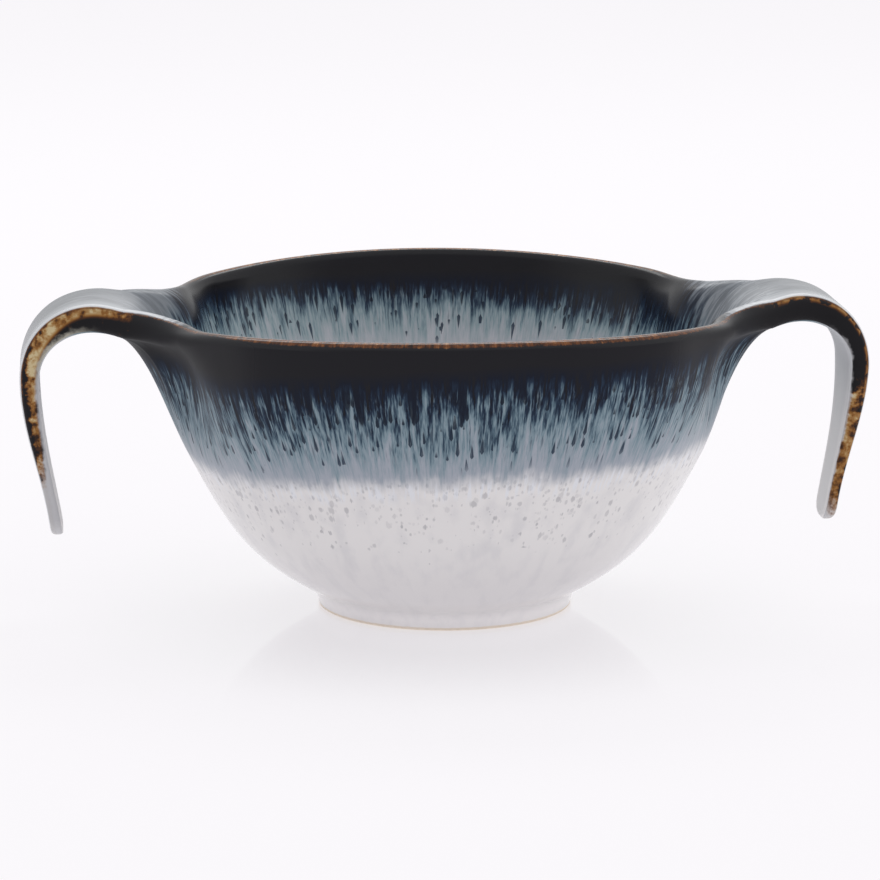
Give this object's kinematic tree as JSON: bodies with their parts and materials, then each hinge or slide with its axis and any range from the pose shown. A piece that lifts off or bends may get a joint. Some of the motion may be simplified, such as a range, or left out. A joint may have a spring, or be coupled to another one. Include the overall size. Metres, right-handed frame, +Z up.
{
  "type": "lug soup bowl",
  "caption": "Glazed stoneware soup bowl on a turned foot ring, with strap lugs that flow out of the rim, arch over and hang down to rounded tips.",
  "frame": {"origin": "middle of the foot ring's standing face", "axes": "+Z up along the bowl's turning axis, +X along the line through both lugs, towards the right lug"},
  "size_m": [0.2006, 0.1438, 0.0753],
  "materials": {
    "reactive_glaze": "gloss reactive glaze: near black at the rim, streaking through navy and blue-grey into a speckled off-white belly, breaking brown on the rim's edge",
    "pale_glaze": "gloss off-white glaze over the foot ring, wiped off the standing face",
    "lug_glaze": "gloss blue-grey and off-white glaze, breaking mottled amber and brown along the edges"
  },
  "bodies": {
    "root": {"bowl_body": "reactive_glaze", "foot_ring": "pale_glaze", "left_lug": "lug_glaze", "right_lug": "lug_glaze"}
  },
  "joints": []
}
